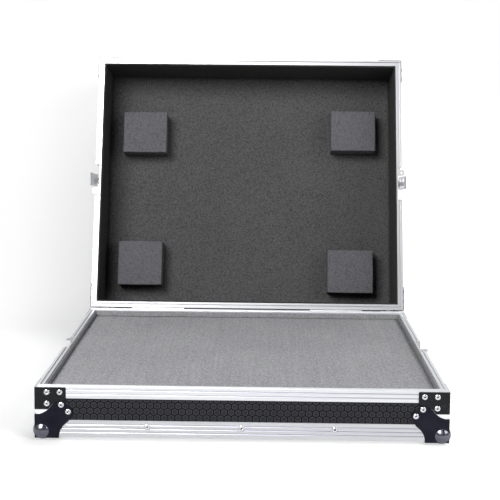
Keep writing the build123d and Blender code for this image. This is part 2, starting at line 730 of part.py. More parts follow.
# Bowed leaf spring under each hook
SPRING_MIDDLE = (SPRING_FROM + SPRING_TO) / 2
with BuildPart() as hook_spring:
    with BuildSketch(CROSSWISE):
        with BuildLine():
            ThreePointArc((SPRING_FROM, -RECESS), (SPRING_MIDDLE, SPRING_CROWN), (SPRING_TO, -RECESS))
            Line((SPRING_TO, -RECESS), (SPRING_TO - 2 * SPRING_SHEET, -RECESS))
            ThreePointArc(
                (SPRING_TO - 2 * SPRING_SHEET, -RECESS),
                (SPRING_MIDDLE, SPRING_CROWN - SPRING_SHEET),
                (SPRING_FROM + 2 * SPRING_SHEET, -RECESS),
            )
            Line((SPRING_FROM + 2 * SPRING_SHEET, -RECESS), (SPRING_FROM, -RECESS))
        make_face()
    extrude(amount=SPRING_HALF, both=True)

with BuildPart() as hook_springs:
    for frame in LID_FRAMES.values():
        add(hook_spring.part.moved(frame))
finish(hook_springs, "hook_springs", LID_OPEN)

# Spindle: shaft, eccentric, head, and two ears that hold the butterfly's pin
with BuildPart() as spindle_shape:
    with BuildSketch(FLAT.offset(SPINDLE_END)):
        with Locations((0, SPINDLE_UP)):
            Circle(SPINDLE_RADIUS)
    extrude(amount=HEAD_UNDER - SPINDLE_END)
    with BuildSketch(FLAT.offset(SLIDE_UNDER)):
        with Locations((0, SPINDLE_UP - THROW)):
            Circle(CAM_RADIUS)
    extrude(amount=HEAD_UNDER - SLIDE_UNDER)
    with BuildSketch(FLAT.offset(HEAD_UNDER)):
        with Locations((0, SPINDLE_UP)):
            RegularPolygon(HEAD_RADIUS, HEAD_SIDES)
    extrude(amount=HEAD_SHEET)
    for inner in (WING_NECK + RUNNING, -WING_NECK - RUNNING - WING_EAR):
        with BuildSketch(CROSSWISE.offset(inner)):
            with Locations((SPINDLE_UP, WING_OUT)):
                Circle(WING_BARREL)
                Rectangle(2 * WING_BARREL, WING_OUT - HEAD_UNDER, align=HANGING)
        extrude(amount=WING_EAR)
    crosswise_pin(SMALL_PIN, WING_NECK + RUNNING + WING_EAR, SPINDLE_UP, WING_OUT)

# Drive plate: slid by the eccentric in its window, with two prongs and the hook's pin
PIVOT_REST = PIVOT_UP - DRAW
PLATE_END = SPINDLE_UP - THROW + CAM_RADIUS + CAM_PLAY + SLIDE_TAIL
PLATE_START = PRONG_TOP - DRAW
with BuildPart() as drive_plate_shape:
    with BuildSketch(FLAT.offset(SLIDE_UNDER)):
        with Locations((0, PLATE_START)):
            Rectangle(2 * SLIDE_HALF, PLATE_END - PLATE_START, align=STANDING)
        with Locations((0, PIVOT_REST - KNUCKLE_RADIUS)):
            Rectangle(2 * PRONG_HALF, PLATE_START - PIVOT_REST + KNUCKLE_RADIUS, align=STANDING)
            gap = 2 * (KNUCKLE_HALF + RUNNING)
            Rectangle(gap, PLATE_START - PIVOT_REST + KNUCKLE_RADIUS, align=STANDING, mode=Mode.SUBTRACT)
        with Locations((0, SPINDLE_UP - THROW)):
            window = (2 * (CAM_RADIUS + THROW + RUNNING), 2 * (CAM_RADIUS + CAM_PLAY))
            Rectangle(*window, mode=Mode.SUBTRACT)
    extrude(amount=SLIDE_SHEET)
    for inner in (KNUCKLE_HALF + RUNNING, -KNUCKLE_HALF - RUNNING - EAR_SHEET):
        with BuildSketch(CROSSWISE.offset(inner)):
            with Locations((PIVOT_REST, PIVOT_OUT)):
                Circle(KNUCKLE_RADIUS)
                Rectangle(2 * KNUCKLE_RADIUS, PIVOT_OUT - SLIDE_UNDER, align=HANGING)
        extrude(amount=EAR_SHEET)
    crosswise_pin(SMALL_PIN, KNUCKLE_HALF + RUNNING + EAR_SHEET, PIVOT_REST, PIVOT_OUT)

# Hook: drawn about its pivot, lying flat
HALF_SHEET = HOOK_SHEET / 2
with BuildPart() as hook_shape:
    with BuildSketch(CROSSWISE):
        with BuildLine():
            Polyline(
                (-HOOK_START, HALF_SHEET),
                (-HOOK_STEP, HOOK_CROWN),
                (-HOOK_REACH + HOOK_CORNER, HOOK_CROWN),
                (-HOOK_REACH, HOOK_CROWN - HOOK_CORNER),
                (-HOOK_REACH, -HOOK_TIP),
                (-HOOK_REACH + HOOK_SHEET, -HOOK_TIP),
                (-HOOK_REACH + HOOK_SHEET, HOOK_CROWN - HOOK_SHEET),
                (-HOOK_STEP - HOOK_SHEET / 3, HOOK_CROWN - HOOK_SHEET),
                (-HOOK_START, -HALF_SHEET),
                close=True,
            )
        make_face()
    extrude(amount=HOOK_HALF, both=True)
    with BuildSketch(CROSSWISE):
        with Locations((-HOOK_START, 0)):
            Rectangle(HOOK_START, HOOK_SHEET, align=(Align.MIN, Align.CENTER))
        Circle(KNUCKLE_RADIUS)
    extrude(amount=KNUCKLE_HALF, both=True)
    crosswise_pin(SMALL_PIN + PIN_PLAY, KNUCKLE_HALF, 0, 0, Mode.SUBTRACT)

# Butterfly: two wings on a neck that folds on the spindle's pin
with BuildPart() as butterfly_shape:
    with BuildSketch(FLAT.offset(WING_UNDER)):
        with Locations((-WING_ACROSS, SPINDLE_UP + WING_UP), (WING_ACROSS, SPINDLE_UP + WING_UP)):
            Circle(WING_ROUND)
        make_hull()
        with Locations((0, SPINDLE_UP + WING_NOTCH_UP)):
            Circle(WING_NOTCH, mode=Mode.SUBTRACT)
        with Locations((0, SPINDLE_UP)):
            Rectangle(2 * WING_NECK, WING_UP, align=STANDING)
    extrude(amount=WING_SHEET)
    crosswise_pin(WING_BARREL, WING_NECK, SPINDLE_UP, WING_OUT)
    crosswise_pin(SMALL_PIN + PIN_PLAY, WING_NECK, SPINDLE_UP, WING_OUT, Mode.SUBTRACT)

HOOK_PLACE = Location((0, PIVOT_REST, PIVOT_OUT), (-HOOK_OPEN, 0, 0))
for side, frame in LID_FRAMES.items():
    with BuildPart() as latch_spindle:
        add(spindle_shape.part.moved(frame))
    finish(latch_spindle, f"{side}_latch_spindle", LID_OPEN)

    with BuildPart() as drive_plate:
        add(drive_plate_shape.part.moved(frame))
    finish(drive_plate, f"{side}_drive_plate", LID_OPEN)

    with BuildPart() as latch_hook:
        add(hook_shape.part.moved(frame * HOOK_PLACE))
    finish(latch_hook, f"{side}_latch_hook", LID_OPEN)

    with BuildPart() as butterfly_handle:
        add(butterfly_shape.part.moved(frame))
    finish(butterfly_handle, f"{side}_butterfly_handle", LID_OPEN)

# Carrying handle: a plate with two ears, and a flat bail that hangs towards the parting line
FRONT_FRAME = Location(face_plane(0, HALF_D, LID_Z))
EAR_AT = BAIL_HALF + BAIL_BAR / 2 + RUNNING
with BuildPart() as handle_plate:
    with BuildSketch(FLAT.offset(-SKIN)):
        with Locations((0, HANDLE_PLATE_UP)):
            RectangleRounded(HANDLE_PLATE_WIDTH, HANDLE_PLATE_HEIGHT, HANDLE_ROUND)
    extrude(amount=HANDLE_SHEET)
    for inner in (EAR_AT, -EAR_AT - BAIL_EAR):
        with BuildSketch(CROSSWISE.offset(inner)):
            with Locations((BAIL_UP, BAIL_OUT)):
                Circle(BAIL_EAR_ROUND)
                Rectangle(2 * BAIL_EAR_ROUND, BAIL_OUT, align=HANGING)
                Circle(BAIL_PIN + PIN_PLAY, mode=Mode.SUBTRACT)
        extrude(amount=BAIL_EAR)
finish(handle_plate, "handle_plate", LID_OPEN * FRONT_FRAME)

with BuildPart() as carry_handle:
    with BuildLine() as bail_path:
        FilletPolyline(
            (-BAIL_HALF, BAIL_UP + BAIL_END, BAIL_OUT),
            (-BAIL_HALF, BAIL_UP - BAIL_DROP, BAIL_OUT),
            (BAIL_HALF, BAIL_UP - BAIL_DROP, BAIL_OUT),
            (BAIL_HALF, BAIL_UP + BAIL_END, BAIL_OUT),
            radius=BAIL_CORNER,
        )
    with BuildSketch(Plane.XZ.offset(-BAIL_UP - BAIL_END)):
        with Locations((-BAIL_HALF, BAIL_OUT)):
            Rectangle(BAIL_BAR, BAIL_THICKNESS)
    sweep()
    for inner, outer in ((BAIL_HALF, EAR_AT + BAIL_EAR), (-EAR_AT - BAIL_EAR, -BAIL_HALF)):
        with Locations(((inner + outer) / 2, BAIL_UP, BAIL_OUT)):
            Cylinder(BAIL_PIN, outer - inner, rotation=(0, 90, 0))
finish(carry_handle, "carry_handle", LID_OPEN * FRONT_FRAME)
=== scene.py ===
"""The looks of a mixer flight case that stands open on a white floor.

Lengths are in metres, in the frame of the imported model. Pieces of the lid are made with the lid
closed and then swung open about the hinge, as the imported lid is.
"""

import json
import math
from collections import namedtuple

import bmesh
import bpy
from mathutils import Matrix, Vector, noise


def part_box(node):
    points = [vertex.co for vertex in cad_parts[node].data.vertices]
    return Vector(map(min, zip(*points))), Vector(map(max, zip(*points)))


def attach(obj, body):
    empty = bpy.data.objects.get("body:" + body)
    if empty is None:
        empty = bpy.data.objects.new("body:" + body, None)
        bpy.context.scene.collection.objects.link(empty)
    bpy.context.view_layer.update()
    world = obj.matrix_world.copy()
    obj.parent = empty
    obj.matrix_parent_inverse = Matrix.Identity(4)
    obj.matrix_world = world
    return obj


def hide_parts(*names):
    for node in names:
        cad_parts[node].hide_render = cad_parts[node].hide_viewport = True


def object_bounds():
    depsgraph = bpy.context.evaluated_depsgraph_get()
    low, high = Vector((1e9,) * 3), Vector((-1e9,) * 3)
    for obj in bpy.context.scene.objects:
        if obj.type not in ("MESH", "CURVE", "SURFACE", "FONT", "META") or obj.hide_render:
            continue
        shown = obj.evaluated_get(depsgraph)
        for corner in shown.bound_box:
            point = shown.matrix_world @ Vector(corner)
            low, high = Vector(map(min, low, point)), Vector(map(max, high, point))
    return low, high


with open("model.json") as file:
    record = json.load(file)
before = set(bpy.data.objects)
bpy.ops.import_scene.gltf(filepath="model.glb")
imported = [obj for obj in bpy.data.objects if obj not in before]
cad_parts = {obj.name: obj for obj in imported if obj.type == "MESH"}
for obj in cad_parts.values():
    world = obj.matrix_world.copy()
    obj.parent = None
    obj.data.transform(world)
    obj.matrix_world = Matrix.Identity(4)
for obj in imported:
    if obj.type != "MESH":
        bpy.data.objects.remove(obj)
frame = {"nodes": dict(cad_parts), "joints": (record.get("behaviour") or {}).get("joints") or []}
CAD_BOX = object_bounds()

MM = 0.001

# The frame's own measures
HINGE = next(joint for joint in frame["joints"] if joint["name"] == "lid_hinge")
HINGE_POINT = Vector(HINGE["pos_m"])
OPEN_ANGLE = math.radians(HINGE["range_deg"][1])
HALF_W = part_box("base_rim_right")[1][0]
HALF_D = -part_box("base_rim_front")[0][1]
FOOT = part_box("base_edge_front")[0][2]
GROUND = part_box("base_ball_corners")[0][2]

# Sizes that the pieces here share with the case
RIM = 10 * MM
LINING = 2.5 * MM
BASE_HEIGHT = 72.5 * MM
PARTING_GAP = 0.5 * MM
LID_HEIGHT = 109 * MM
RIM_TOP = FOOT + BASE_HEIGHT
LID_RIM = RIM_TOP + PARTING_GAP
LID_TOP = LID_RIM + LID_HEIGHT
PLATE = 1.2 * MM
BALL_RADIUS = 13.75 * MM
BALL_IN = 8.5 * MM
OPEN = (
    Matrix.Translation(HINGE_POINT)
    @ Matrix.Rotation(-OPEN_ANGLE, 4, "X")
    @ Matrix.Translation(-HINGE_POINT)
)
BACK_TO_SHUT = OPEN.inverted()
SHUT = Matrix.Identity(4)

# The case's two halves: rim is the height of the parting line and tip that of the far end, both
# with the lid closed, and up is the direction from tip to rim. The rim shade is painted shade that
# darkens the rims' metal, far more on the lid than on the base
Half = namedtuple("Half", "body turn swing rim tip up rim_tone")
BASE = Half("base", None, SHUT, RIM_TOP, FOOT, 1, rim_tone=0.84)
LID = Half("lid", OPEN_ANGLE, OPEN, LID_RIM, LID_TOP, -1, rim_tone=0.53)

# Tones of the satin metal and of its painted shade on the edge sections and in the pressed lines,
# and the half widths of a pressed line's core and of its soft edge
SATIN_LOW = (0.80, 0.81, 0.845)
SATIN_HIGH = (0.90, 0.905, 0.93)
EDGE_SHADE = 0.64
GROOVE_SHADE = (0.30, 0.31, 0.38)
GROOVE_CORE = 0.4 * MM
GROOVE_REACH = 1.5 * MM

# Pressed lines, from the parting line on the rims and from the far end on the edge sections
RIM_LINES = (4.6 * MM, 10.8 * MM)
EDGE_LINES = (7.1 * MM, 12.7 * MM, 18.2 * MM)

# The honeycomb: the distance from one cell to the next and its tones, with painted shade in the
# seams and a painted highlight round each face. In shares of that distance, counted from a cell's
# border: the end of the seam, the start of the face, the end of its highlight
HEX_PITCH = 9.9 * MM
SEAM_SHADE = (0.002, 0.002, 0.003)
CELL_DARK = (0.016, 0.016, 0.019)
CELL_LIGHT = (0.025, 0.025, 0.030)
FACE_HIGHLIGHT = (0.082, 0.082, 0.094)
SEAM_END = 0.06
FACE_START = 0.13
HIGHLIGHT_END = 0.24

# The ball corners: where the ball's painted brighter tone fades out and the painted edge highlights
# may begin, both counted from the ball, and the cosine from which a face counts as square to the
# case
BALL_FADE_FROM = 0.1 * MM
BALL_FADE_TO = 0.6 * MM
BALL_CLEARANCE = 8 * MM
SQUARE_TO_CASE = 0.995
EDGE_HIGHLIGHT_TONE = (0.80, 0.80, 0.84)

# Size of the foam's grain
FOAM_GRAIN = 3.2 * MM
LINING_GRAIN = 2.8 * MM


# Material nodes

class Nodes:
    """A short way to build one material's node tree."""

    def __init__(self, name):
        self.material = bpy.data.materials.new(name)
        self.material.use_nodes = True
        self.tree = self.material.node_tree
        self.tree.nodes.clear()
        self.output = self.tree.nodes.new("ShaderNodeOutputMaterial")
        self.shader = self.tree.nodes.new("ShaderNodeBsdfPrincipled")
        self.link(self.shader.outputs[0], self.output.inputs["Surface"])

    def link(self, source, target):
        self.tree.links.new(source, target)

    def feed(self, socket, value):
        """Join a value or another node's output to a socket."""
        if isinstance(value, bpy.types.NodeSocket):
            self.link(value, socket)
        elif value is not None:
            socket.default_value = value

    def set(self, **values):
        """Set the shader's own sockets; underscores in a name stand for spaces."""
        for name, value in values.items():
            self.feed(self.shader.inputs[name.replace("_", " ")], value)

    def math(self, operation, a, b=None, c=None):
        node = self.tree.nodes.new("ShaderNodeMath")
        node.operation = operation
        for socket, value in zip(node.inputs, (a, b, c)):
            self.feed(socket, value)
        return node.outputs[0]

    def vector(self, operation, a, b=None, c=None, scale=None):
        node = self.tree.nodes.new("ShaderNodeVectorMath")
        node.operation = operation
        for socket, value in zip(node.inputs, (a, b, c)):
            self.feed(socket, value)
        if scale is not None:
            self.feed(node.inputs["Scale"], scale)
        return node.outputs["Value"] if operation in ("LENGTH", "DOT_PRODUCT") else node.outputs[0]

    def place(self, turn=None, scale=(1, 1, 1)):
        """The point on the object, turned back to the closed lid if asked and then stretched."""
        point = self.tree.nodes.new("ShaderNodeTexCoord").outputs["Object"]
        if turn:
            mapping = self.tree.nodes.new("ShaderNodeMapping")
            mapping.inputs["Rotation"].default_value = (turn, 0, 0)
            moved = HINGE_POINT - Matrix.Rotation(turn, 3, "X") @ HINGE_POINT
            mapping.inputs["Location"].default_value = moved
            self.link(point, mapping.inputs["Vector"])
            point = mapping.outputs[0]
        if tuple(scale) != (1, 1, 1):
            point = self.vector("MULTIPLY", point, scale)
        return point

    def noise(self, point, scale, detail=3.0, rough=0.5):
        node = self.tree.nodes.new("ShaderNodeTexNoise")
        self.link(point, node.inputs["Vector"])
        node.inputs["Scale"].default_value = scale
        node.inputs["Detail"].default_value = detail
        node.inputs["Roughness"].default_value = rough
        return node.outputs["Fac"]

    def cells(self, point, scale):
        """The distance to the middle of the nearest cell."""
        node = self.tree.nodes.new("ShaderNodeTexVoronoi")
        self.link(point, node.inputs["Vector"])
        node.inputs["Scale"].default_value = scale
        return node.outputs["Distance"]

    def ramp(self, value, stops):
        """A colour ramp; each stop is a position and a grey level or a colour."""
        node = self.tree.nodes.new("ShaderNodeValToRGB")
        self.link(value, node.inputs[0])
        elements = node.color_ramp.elements
        while len(elements) < len(stops):
            elements.new(0.5)
        for element, (position, colour) in zip(elements, stops):
            element.position = position
            if isinstance(colour, (int, float)):
                colour = (colour, colour, colour)
            element.color = (*colour, 1)
        return node.outputs[0]

    def mix(self, factor, a, b):
        node = self.tree.nodes.new("ShaderNodeMix")
        node.data_type = "RGBA"
        for socket, value in ((node.inputs[0], factor), (node.inputs[6], a), (node.inputs[7], b)):
            if isinstance(value, tuple) and len(value) == 3:
                value = (*value, 1)
            self.feed(socket, value)
        return node.outputs[2]

    def split(self, vector):
        node = self.tree.nodes.new("ShaderNodeSeparateXYZ")
        self.link(vector, node.inputs[0])
        return node.outputs

    def map_range(self, value, from_min, from_max, to_min, to_max):
        """A smooth step from one level to the other."""
        node = self.tree.nodes.new("ShaderNodeMapRange")
        node.interpolation_type = "SMOOTHSTEP"
        for socket, level in zip(node.inputs, (value, from_min, from_max, to_min, to_max)):
            self.feed(socket, level)
        return node.outputs[0]

    def bump(self, height, strength, distance):
        node = self.tree.nodes.new("ShaderNodeBump")
        node.inputs["Strength"].default_value = strength
        node.inputs["Distance"].default_value = distance
        self.link(height, node.inputs["Height"])
        self.link(node.outputs[0], self.shader.inputs["Normal"])


def aluminium(name, run, turn=None, lines=(), tone=1.0):
    """Satin extruded aluminium, drawn along its run (0, 1 or 2 for X, Y or Z).

    The lines are heights of the pressed grooves, where painted shade makes the metal darker and
    bluer.
    """
    nodes = Nodes(name)
    stretch = [1400.0, 1400.0, 1400.0]
    stretch[run] = 6.0
    streaks = nodes.noise(nodes.place(turn, stretch), 1.0, 2.0)
    clouds = nodes.noise(nodes.place(turn), 9.0, 2.0)
    # A tone below 1 darkens the metal as painted shade
    low, high = (tuple(tone * level for level in colour) for colour in (SATIN_LOW, SATIN_HIGH))
    colour = nodes.ramp(streaks, ((0.3, low), (0.7, high)))
    colour = nodes.mix(nodes.math("MULTIPLY", clouds, 0.3), colour, high)
    if lines:
        level = nodes.split(nodes.place(turn))[2]
        nearest = None
        for line in lines:
            away = nodes.math("ABSOLUTE", nodes.math("SUBTRACT", level, line))
            nearest = away if nearest is None else nodes.math("MINIMUM", nearest, away)
        groove = nodes.map_range(nearest, GROOVE_CORE, GROOVE_REACH, 1.0, 0.0)
        # Painted shade in the pressed lines
        colour = nodes.mix(nodes.math("MULTIPLY", groove, 0.8), colour, GROOVE_SHADE)
    nodes.set(Base_Color=colour, Metallic=0.8)
    nodes.set(Roughness=nodes.math("MULTIPLY_ADD", streaks, 0.08, 0.34))
    nodes.bump(streaks, 0.05, 0.00003)
    return nodes.material


def hexagon_board(name, axes, turn=None):
    """Black laminate with an embossed honeycomb; axes are the two that lie in the board."""
    nodes = Nodes(name)
    levels = nodes.split(nodes.place(turn))
    join = nodes.tree.nodes.new("ShaderNodeCombineXYZ")
    for socket, axis in zip(join.inputs, axes):
        nodes.link(nodes.math("DIVIDE", levels[axis], HEX_PITCH), socket)
    flat = join.outputs[0]
    period = (1.0, math.sqrt(3), 1.0)
    half = tuple(p / 2 for p in period)
    low = tuple(-h for h in half)
    first = nodes.vector("WRAP", flat, half, low)
    second = nodes.vector("WRAP", nodes.vector("ADD", flat, (half[0], half[1], 0.0)), half, low)
    nearer = nodes.math("LESS_THAN", nodes.vector("LENGTH", first), nodes.vector("LENGTH", second))
    pick = nodes.tree.nodes.new("ShaderNodeMix")
    pick.data_type = "VECTOR"
    nodes.link(nearer, pick.inputs[0])
    nodes.link(second, pick.inputs[4])
    nodes.link(first, pick.inputs[5])
    cell = nodes.vector("ABSOLUTE", pick.outputs[1])
    slant = nodes.vector("DOT_PRODUCT", cell, (0.5, math.sqrt(3) / 2, 0.0))
    edge = nodes.math("SUBTRACT", 0.5, nodes.math("MAXIMUM", nodes.split(cell)[0], slant))
    grain = nodes.noise(nodes.place(turn), 900.0, 3.0)
    clouds = nodes.noise(nodes.place(turn), 30.0, 2.0)
    raised = nodes.map_range(edge, SEAM_END, FACE_START, 0.0, 1.0)
    highlight = nodes.map_range(edge, FACE_START, HIGHLIGHT_END, 1.0, 0.0)
    cell_tone = nodes.mix(clouds, CELL_DARK, CELL_LIGHT)
    # A painted highlight round each cell's face
    cell_tone = nodes.mix(nodes.math("MULTIPLY", highlight, 0.5), cell_tone, FACE_HIGHLIGHT)
    # Painted shade in the seams between the cells
    nodes.set(Base_Color=nodes.mix(raised, SEAM_SHADE, cell_tone))
    nodes.set(Roughness=nodes.math("MULTIPLY_ADD", grain, 0.25, 0.45))
    nodes.set(Specular_IOR_Level=0.08)
    nodes.bump(nodes.math("MULTIPLY_ADD", grain, 0.12, raised), 0.7, 0.0004)
    return nodes.material


def foam(name, tone, grain, contrast, streak=0.0, turn=None, lift=(1.0, 1.0, 1.04)):
    """Foam with a speckled open grain of the given size.

    A streak adds faint lines that run from front to back, and lift tints the tone.
    """
    nodes = Nodes(name)
    point = nodes.place(turn)
    speckle = nodes.noise(point, 1.0 / grain, 5.0, 0.75)
    pores = nodes.cells(point, 1.0 / grain)
    clouds = nodes.noise(point, 8.0, 3.0)
    level = nodes.math("MULTIPLY_ADD", nodes.math("SUBTRACT", speckle, 0.5), contrast, 1.0)
    level = nodes.math("MULTIPLY_ADD", nodes.math("SUBTRACT", 0.45, pores), contrast * 0.3, level)
    level = nodes.math("MULTIPLY_ADD", nodes.math("SUBTRACT", clouds, 0.5), 0.25, level)
    if streak:
        lines = nodes.noise(nodes.place(turn, (260.0, 3.0, 3.0)), 1.0, 2.0)
        level = nodes.math("MULTIPLY_ADD", nodes.math("SUBTRACT", lines, 0.5), streak, level)
    level = nodes.math("MAXIMUM", level, 0.15)
    colour = tuple(tone * c for c in lift)
    nodes.set(Base_Color=nodes.vector("SCALE", colour, scale=level))
    nodes.set(Roughness=0.95, Specular_IOR_Level=0.15)
    nodes.bump(nodes.math("MULTIPLY_ADD", pores, -0.5, speckle), 0.5, grain * 0.3)
    return nodes.material


def black_paint(name):
    """Black enamel on the braces, a little uneven and rubbed."""
    nodes = Nodes(name)
    peel = nodes.noise(nodes.place(), 300.0, 2.0)
    rubbed = nodes.ramp(nodes.noise(nodes.place(), 60.0, 4.0, 0.7), ((0.55, 0.0), (0.85, 1.0)))
    nodes.set(Base_Color=nodes.mix(rubbed, (0.004, 0.005, 0.006), (0.02, 0.021, 0.024)))
    nodes.set(Roughness=nodes.math("MULTIPLY_ADD", rubbed, 0.2, 0.22), Specular_IOR_Level=0.22)
    nodes.bump(peel, 0.12, 0.0001)
    return nodes.material


def dark_chrome(name, tip, turn=None):
    """Polished black chrome, with a painted highlight on the edges of the lobed plates.

    The tip is the height of the far end, where the four balls are; they are painted brighter than
    the plates, as a painted highlight.
    An edge is a face that isn't square to the case and lies clear of the balls.
    """
    nodes = Nodes(name)
    smear = nodes.noise(nodes.place(), 45.0, 3.0)
    plate = nodes.mix(smear, (0.006, 0.007, 0.012), (0.026, 0.027, 0.038))
    # The balls are painted brighter than the plates, as a painted highlight
    ball = nodes.mix(smear, (0.07, 0.075, 0.10), (0.17, 0.17, 0.20))
    mirrored = nodes.vector("ABSOLUTE", nodes.place(turn))
    middle = (HALF_W - BALL_IN, HALF_D - BALL_IN, abs(tip) - BALL_IN)
    reach = nodes.vector("LENGTH", nodes.vector("SUBTRACT", mirrored, middle))
    clear = nodes.math("GREATER_THAN", reach, BALL_RADIUS + BALL_CLEARANCE)
    fade_from, fade_to = BALL_RADIUS + BALL_FADE_FROM, BALL_RADIUS + BALL_FADE_TO
    on_ball = nodes.map_range(reach, fade_from, fade_to, 1.0, 0.0)
    colour = nodes.mix(on_ball, plate, ball)
    own = nodes.tree.nodes.new("ShaderNodeVectorTransform")
    own.vector_type = "NORMAL"
    own.convert_from = "WORLD"
    own.convert_to = "OBJECT"
    nodes.link(nodes.tree.nodes.new("ShaderNodeNewGeometry").outputs["True Normal"], own.inputs[0])
    normal = own.outputs[0]
    if turn:
        mapping = nodes.tree.nodes.new("ShaderNodeMapping")
        mapping.vector_type = "NORMAL"
        mapping.inputs["Rotation"].default_value = (turn, 0, 0)
        nodes.link(normal, mapping.inputs["Vector"])
        normal = mapping.outputs[0]
    facing = nodes.split(nodes.vector("ABSOLUTE", normal))
    square = nodes.math("MAXIMUM", nodes.math("MAXIMUM", facing[0], facing[1]), facing[2])
    slanted = nodes.math("LESS_THAN", square, SQUARE_TO_CASE)
    # Painted highlight on the plates' slanted edges
    edge = nodes.math("MULTIPLY", clear, slanted)
    nodes.set(Base_Color=nodes.mix(edge, colour, EDGE_HIGHLIGHT_TONE), Metallic=1.0)
    nodes.set(Roughness=nodes.math("MULTIPLY_ADD", smear, 0.08, 0.03))
    nodes.bump(nodes.noise(nodes.place(), 120.0, 2.0), 0.10, 0.0003)
    return nodes.material


def plated(name, tone, rough, run=None, metal=1.0):
    """Plated steel: bright, with faint rubbing and small cloudy marks."""
    nodes = Nodes(name)
    clouds = nodes.noise(nodes.place(), 70.0, 3.0)
    stretch = [60.0, 60.0, 60.0] if run is None else [1600.0, 1600.0, 1600.0]
    if run is not None:
        stretch[run] = 12.0
    marks = nodes.noise(nodes.place(None, stretch), 1.0, 3.0)
    dull = tuple(t * 0.8 for t in tone)
    nodes.set(Base_Color=nodes.mix(clouds, dull, tone), Metallic=metal)
    nodes.set(Roughness=nodes.math("MULTIPLY_ADD", marks, 0.14, rough))
    nodes.bump(marks, 0.08, 0.00005)
    return nodes.material


def dark_hole(name):
    """Painted shade for the dimple in the middle of a rivet."""
    nodes = Nodes(name)
    tone = nodes.ramp(nodes.noise(nodes.place(), 800.0), ((0.3, 0.02), (0.7, 0.07)))
    nodes.set(Base_Color=tone, Roughness=0.6, Metallic=0.6)
    return nodes.material


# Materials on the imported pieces

# The two axes that lie in each side's board; its sections run along the first
BOARD_AXES = {"front": (0, 2), "back": (0, 2), "left": (1, 2), "right": (1, 2)}


def dress(node, material):
    """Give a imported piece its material."""
    mesh = frame["nodes"][node].data
    mesh.materials.clear()
    mesh.materials.append(material)


black_enamel = black_paint("black_enamel")
bright_plate = plated("bright_plate", (0.90, 0.90, 0.92), 0.16, metal=0.6)
latch_plate = plated("latch_plate", (0.56, 0.56, 0.58), 0.26, metal=0.85)
# Near black steel for the latch's springs and drive plates: painted shade in the gaps round the
# hooks
shade_steel = plated("shade_steel", (0.05, 0.05, 0.055), 0.3)
zinc_plate = plated("zinc_plate", (0.70, 0.70, 0.71), 0.30, run=0)
rivet_steel = plated("rivet_steel", (0.68, 0.68, 0.71), 0.18)
rivet_dimple_shade = dark_hole("rivet_dimple_shade")

for side, axes in BOARD_AXES.items():
    run = axes[0]
    for half in (BASE, LID):
        body, turn = half.body, half.turn
        rim_lines = [half.rim - half.up * line for line in RIM_LINES]
        edge_lines = [half.tip + half.up * line for line in EDGE_LINES]
        # The rims and edge sections are painted darker than the corner angles, as painted shade
        rim_metal = aluminium(f"rim_{body}_{side}", run, turn, rim_lines, half.rim_tone)
        dress(f"{body}_rim_{side}", rim_metal)
        edge_metal = aluminium(f"edge_{body}_{side}", run, turn, edge_lines, EDGE_SHADE)
        dress(f"{body}_edge_{side}", edge_metal)
        dress(f"{body}_{side}_panel", hexagon_board(f"board_{body}_{side}", axes, turn))
dress("base_bottom_panel", hexagon_board("board_bottom", (0, 1)))
dress("lid_top_panel", hexagon_board("board_top", (0, 1), OPEN_ANGLE))
dress("base_corner_angles", aluminium("aluminium_base_corners", 2))
dress("lid_corner_angles", aluminium("aluminium_lid_corners", 2, OPEN_ANGLE))
for node in ("base_corner_braces", "lid_corner_braces"):
    dress(node, black_enamel)
dress("base_ball_corners", dark_chrome("base_chrome", FOOT))
dress("lid_ball_corners", dark_chrome("lid_chrome", LID_TOP, OPEN_ANGLE))
for node in ("base_hinge_leaves", "lid_hinge_leaves", "hinge_pins"):
    dress(node, zinc_plate)
# The springs are painted near black, as painted shade
dress("hook_springs", shade_steel)
for node in ("lid_latch_dishes", "keeper_dishes", "handle_plate"):
    dress(node, latch_plate)
dress("carry_handle", bright_plate)
for side in ("left", "right"):
    dress(f"{side}_latch_spindle", latch_plate)
    dress(f"{side}_drive_plate", shade_steel)
    dress(f"{side}_latch_hook", bright_plate)
    dress(f"{side}_butterfly_handle", bright_plate)


# Making pieces

def new_piece(name, work, body, materials, swing=SHUT, smooth=True):
    """Turn a bmesh into a piece that rides on a body."""
    work.transform(swing)
    bmesh.ops.recalc_face_normals(work, faces=work.faces)
    mesh = bpy.data.meshes.new(name)
    work.to_mesh(mesh)
    work.free()
    for material in materials:
        mesh.materials.append(material)
    for polygon in mesh.polygons:
        polygon.use_smooth = smooth
    piece = bpy.data.objects.new(name, mesh)
    bpy.context.scene.collection.objects.link(piece)
    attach(piece, body)
    return piece


# How much of its crown a foam block loses towards its edges, and how many waves its faces have
# in a metre
CROWN_FALL = 0.9
BLOCK_WAVES = 40


